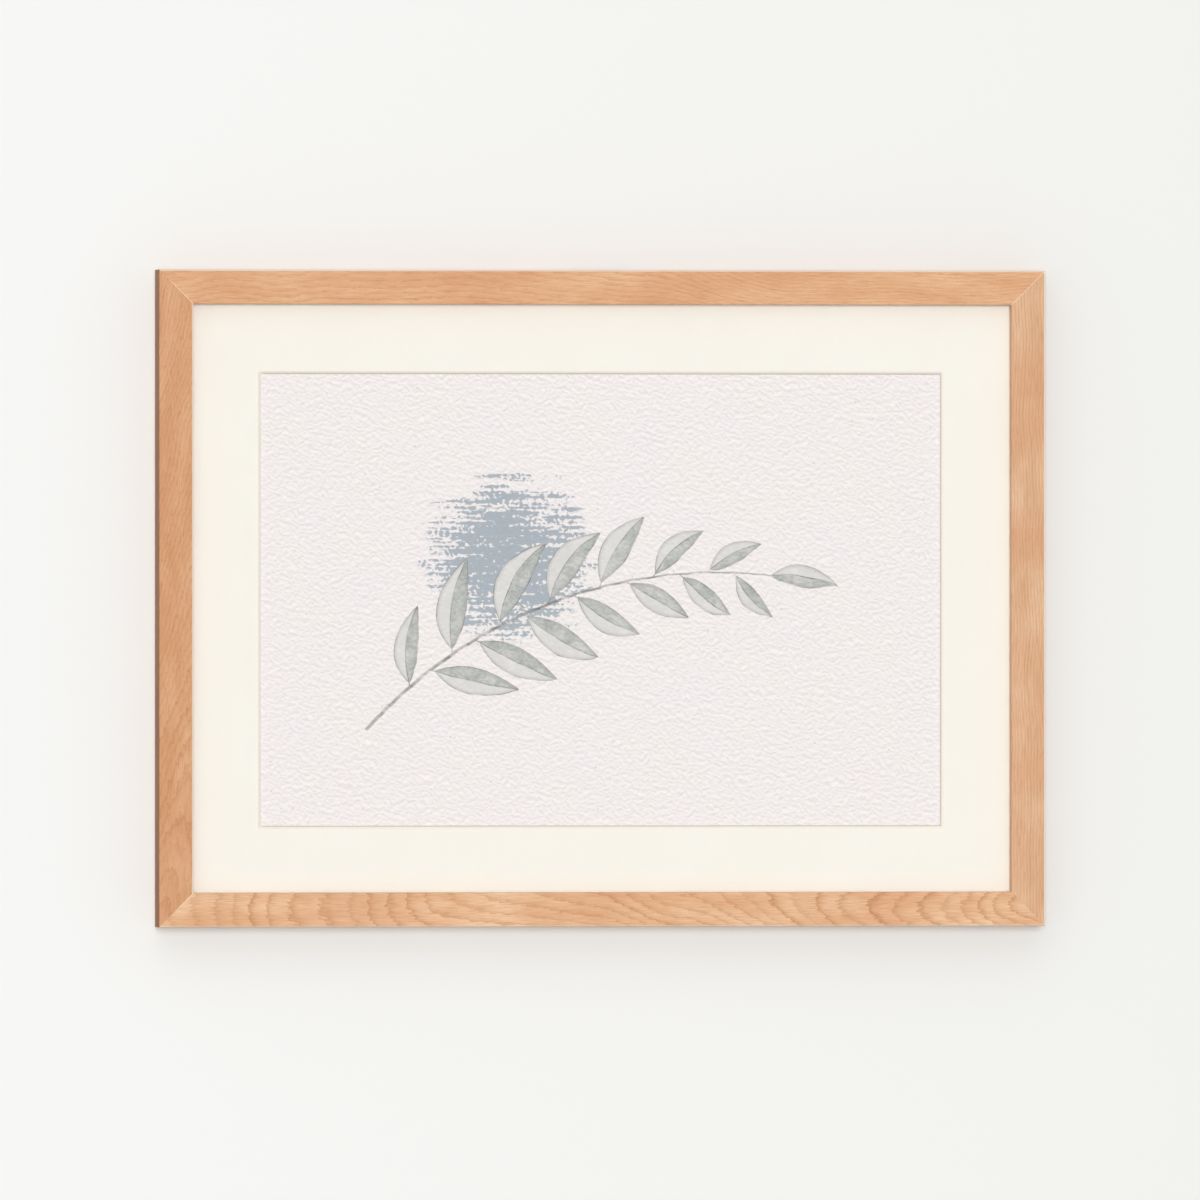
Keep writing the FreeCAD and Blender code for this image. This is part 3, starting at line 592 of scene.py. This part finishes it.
def card(name, face, cloudy, fibre_size):
    """Pressed card or gummed paper: dead matt, with soft fibres fibre_size mm long."""
    made, tree, here = new_material(name)
    inputs = {"Vector": here, "Scale": 1 / fibre_size, "Detail": 3.0, "Roughness": 0.7, "Distortion": 0.8}
    fibres = add(tree, "TexNoise", inputs)
    share = add(tree, "MapRange", (fibres, 0.35, 0.7, 0.0, 1.0))
    base = add(tree, "Mix", (share, colour(face), colour(cloudy)), data_type="RGBA")
    bump = add(tree, "Bump", {"Height": fibres, "Strength": 0.3, "Distance": 0.05 * MM})
    surface = {"Base Color": base, "Roughness": 0.92, "Normal": bump, "Specular IOR Level": 0.2}
    add(tree, "OutputMaterial", {"Surface": add(tree, "BsdfPrincipled", surface)})
    return made


def hardboard():
    """Tempered hardboard: brown pressed fibre with a smooth, slightly shiny face and dark bundles of fibre,
    drawn twice as coarse as they are so that they show."""
    made, tree, here = new_material("tempered_hardboard")
    bundle_inputs = {"Vector": here, "Scale": 0.4, "Detail": 5.0, "Roughness": 0.75, "Distortion": 1.5}
    bundles = add(tree, "TexNoise", bundle_inputs)
    felt = add(tree, "TexNoise", {"Vector": here, "Scale": 1.4, "Detail": 2.0, "Roughness": 0.6})
    cloud = add(tree, "TexNoise", {"Vector": here, "Scale": 0.015, "Detail": 2.0})
    base = add(tree, "Mix", (cloud, colour("#8F6B47"), colour("#775537")), data_type="RGBA")
    dark = add(tree, "MapRange", (bundles, 0.5, 0.7, 0.0, 0.9))
    base = add(tree, "Mix", (dark, base, colour("#5A3E27")), data_type="RGBA")
    pale = add(tree, "MapRange", (felt, 0.5, 0.75, 0.0, 0.6))
    base = add(tree, "Mix", (pale, base, colour("#A98A64")), data_type="RGBA")
    bump = add(tree, "Bump", {"Height": felt, "Strength": 0.35, "Distance": 0.05 * MM})
    surface = {"Base Color": base, "Roughness": 0.55, "Normal": bump, "Specular IOR Level": 0.35}
    add(tree, "OutputMaterial", {"Surface": add(tree, "BsdfPrincipled", surface)})
    return made


def rolled_steel(name, tint, brushed):
    """Plated or bright steel strip: rolled lines half a millimetre apart along X, and faint cloudy
    spangle."""
    made, tree, here = new_material(name)
    lines = add(tree, "Mapping", {"Vector": here, "Scale": (0.15, 4.0, 4.0)})
    rolled = add(tree, "TexNoise", {"Vector": lines, "Scale": 1.0, "Detail": 2.0, "Roughness": 0.6})
    spangle = add(tree, "TexNoise", {"Vector": here, "Scale": 0.8, "Detail": 3.0, "Roughness": 0.6})
    base = add(tree, "Mix", (spangle, colour(tint), colour("#8B8D8E")), data_type="RGBA")
    rough = add(tree, "MapRange", (rolled, 0.2, 0.8, 0.28, 0.28 + brushed))
    bump = add(tree, "Bump", {"Height": rolled, "Strength": 0.2, "Distance": 0.02 * MM})
    surface = {"Base Color": base, "Roughness": rough, "Normal": bump, "Metallic": 1.0}
    add(tree, "OutputMaterial", {"Surface": add(tree, "BsdfPrincipled", surface)})
    return made


def bumper_rubber():
    """Moulded soft polyurethane: milky grey, satin, with a fine moulded texture."""
    made, tree, here = new_material("milky_polyurethane")
    grain = add(tree, "TexNoise", {"Vector": here, "Scale": 6.0, "Detail": 2.0})
    base = add(tree, "Mix", (grain, colour("#D6D4CF"), colour("#C3C1BB")), data_type="RGBA")
    bump = add(tree, "Bump", {"Height": grain, "Strength": 0.2, "Distance": 0.02 * MM})
    surface = {"Base Color": base, "Roughness": 0.42, "Normal": bump, "Subsurface Weight": 0.1}
    add(tree, "OutputMaterial", {"Surface": add(tree, "BsdfPrincipled", surface)})
    return made


def dress_panels():
    dress("glazing", picture_glass())
    NODES["glazing"].visible_shadow = False  # clear glass casts none
    dress("window_mat", mat_board())
    dress("art_sheet", painted_paper())
    dress("mount_board", card("conservation_mount_card", "#EFEADD", "#E6E0D0", 1.5))
    tape = card("gummed_paper_tape", "#F0EDE3", "#E2DCCB", 0.8)
    dress("hinge_tape_left", tape)
    dress("hinge_tape_right", tape)
    dress("back_board", hardboard())


def dress_fittings():
    strip = rolled_steel("zinc_plated_strip", "#A6A8A8", 0.25)
    dress("sawtooth_hanger", strip)
    dress("hanger_nails", strip)
    steel = rolled_steel("bright_rolled_steel", "#8F9193", 0.2)
    dress("retaining_points", steel)
    dress("joint_nails", steel)
    rubber = bumper_rubber()
    dress("wall_bumper_left", rubber)
    dress("wall_bumper_right", rubber)


# Stage: a pale wall behind the picture and a pale floor well below it, each seen from its open side only,
# so that views from behind and below are clear. Neither blocks the lamps.

FLOOR_DROP = 1.3  # m below the picture's middle
WALL_HALF = 5.0  # m
PAINTED_LIGHT_REACH = 300.0  # mm to either side of the middle, over which the wall's painted light changes, paler to the left
FLOOR_LIFT = 0.12


def one_sided(name, left_tint_and_light, right_tint_and_light, lift):
    """Matt paint that is seen only from its front, shading from one tint to the other across the picture,
    which on the wall is painted light, paler to the left.
    lift is what the camera sees it paler by than the lamps make it."""
    made, tree, here = new_material(name)
    across = add(tree, "SeparateXYZ", [here]).outputs["X"]
    share = add(tree, "MapRange", (across, -PAINTED_LIGHT_REACH, PAINTED_LIGHT_REACH, 0.0, 1.0))
    tint = add(tree, "Mix", (share, colour(left_tint_and_light), colour(right_tint_and_light)), data_type="RGBA")
    paint = add(tree, "BsdfDiffuse", {"Color": tint})
    by_camera = add(tree, "LightPath").outputs["Is Camera Ray"]
    camera_only = add(tree, "Math", (by_camera, lift), operation="MULTIPLY")
    glow = add(tree, "Emission", {"Color": tint, "Strength": camera_only})
    paint = add(tree, "AddShader", (paint, glow))
    clear = add(tree, "BsdfTransparent")
    behind = add(tree, "NewGeometry").outputs["Backfacing"]
    add(tree, "OutputMaterial", {"Surface": add(tree, "MixShader", (behind, paint, clear))})
    return made


def stage_plane(name, corners, material):
    mesh = bpy.data.meshes.new(name)
    mesh.from_pydata(corners, [], [(0, 1, 2, 3)])
    mesh.materials.append(material)
    plane = bpy.data.objects.new(name, mesh)
    bpy.context.scene.collection.objects.link(plane)
    plane.visible_shadow = plane.visible_diffuse = plane.visible_glossy = False


def make_stage():
    left, right = -WALL_HALF, WALL_HALF
    floor = MIDDLE.z - FLOOR_DROP
    top = floor + 2 * WALL_HALF
    front = -2 * WALL_HALF
    wall = [(left, 0, floor), (right, 0, floor), (right, 0, top), (left, 0, top)]
    ground = [(left, front, floor), (right, front, floor), (right, 0, floor), (left, 0, floor)]
    # The wall's paint runs paler to the left, as painted light
    stage_plane("wall", wall, one_sided("painted_wall", "#FBFBF9", "#F6F6F3", 0.0))
    stage_plane("floor", ground, one_sided("pale_floor", "#EDECE9", "#EDECE9", FLOOR_LIFT))


# Light: as bright on the picture's front as makes a colour render as written. WORLD_LIGHT is the even part,
# and each lamp's share is what it adds to a surface that faces it.

WORLD_LIGHT = 0.37
BACKGROUND = colour("#F2F1EF")


def make_world():
    """Even light, and a pale background where the camera, glass or metal sees past the stage."""
    world = bpy.data.worlds.new("studio")
    bpy.context.scene.world = world
    world.use_nodes = True
    tree = world.node_tree
    tree.nodes.clear()
    path = add(tree, "LightPath").outputs
    seen = add(tree, "Math", (path["Is Camera Ray"], path["Is Glossy Ray"]), operation="MAXIMUM")
    seen = add(tree, "Math", (seen, path["Is Transmission Ray"]), operation="MAXIMUM")
    light = add(tree, "Background", {"Color": (1, 1, 1, 1), "Strength": WORLD_LIGHT})
    view = add(tree, "Background", {"Color": BACKGROUND, "Strength": 1.0})
    add(tree, "OutputWorld", {"Surface": add(tree, "MixShader", (seen, light, view))})


def add_lamp(name, azimuth, elevation, softness, share):
    """A far, soft lamp. Azimuth 0 is straight in front, 90 from the right. softness is how wide it looks
    from the picture, in degrees."""
    a, e = math.radians(azimuth), math.radians(elevation)
    back = Vector((math.sin(a) * math.cos(e), -math.cos(a) * math.cos(e), math.sin(e)))
    lamp = bpy.data.lights.new(name, "SUN")
    lamp.angle = math.radians(softness)
    lamp.energy = share * math.pi
    made = bpy.data.objects.new(name, lamp)
    made.location = MIDDLE + back * 2
    made.rotation_mode = "QUATERNION"
    made.rotation_quaternion = (-back).to_track_quat("-Z", "Y")
    bpy.context.scene.collection.objects.link(made)


def make_lights():
    add_lamp("front_softbox", azimuth=-4, elevation=3, softness=16, share=0.53)
    add_lamp("high_softbox", azimuth=-16, elevation=36, softness=50, share=0.09)
    add_lamp("back_softbox", azimuth=180, elevation=20, softness=40, share=0.35)


# Camera: far off with a long lens, a little to the left, level with the picture's middle

VIEW_AZIMUTH = -7.0
VIEW_DISTANCE = 12.0  # m
VIEW_WIDTH = 0.5945  # m across the image, at the picture
AIM = Vector((-0.0004, 0, -0.0008))  # m from the picture's middle to the image's centre


def make_camera():
    data = bpy.data.cameras.new("camera")
    camera = bpy.data.objects.new("camera", data)
    bpy.context.scene.collection.objects.link(camera)
    data.lens = data.sensor_width * VIEW_DISTANCE / VIEW_WIDTH
    data.clip_end = 100
    a = math.radians(VIEW_AZIMUTH)
    back = Vector((math.sin(a), -math.cos(a), 0))
    camera.location = MIDDLE + AIM + back * VIEW_DISTANCE
    camera.rotation_mode = "QUATERNION"
    camera.rotation_quaternion = (-back).to_track_quat("-Z", "Y")
    bpy.context.scene.camera = camera


make_camera()
dress_rails()
dress_panels()
dress_fittings()
make_stage()
make_world()
make_lights()
bpy.context.scene.view_settings.view_transform = "Standard"
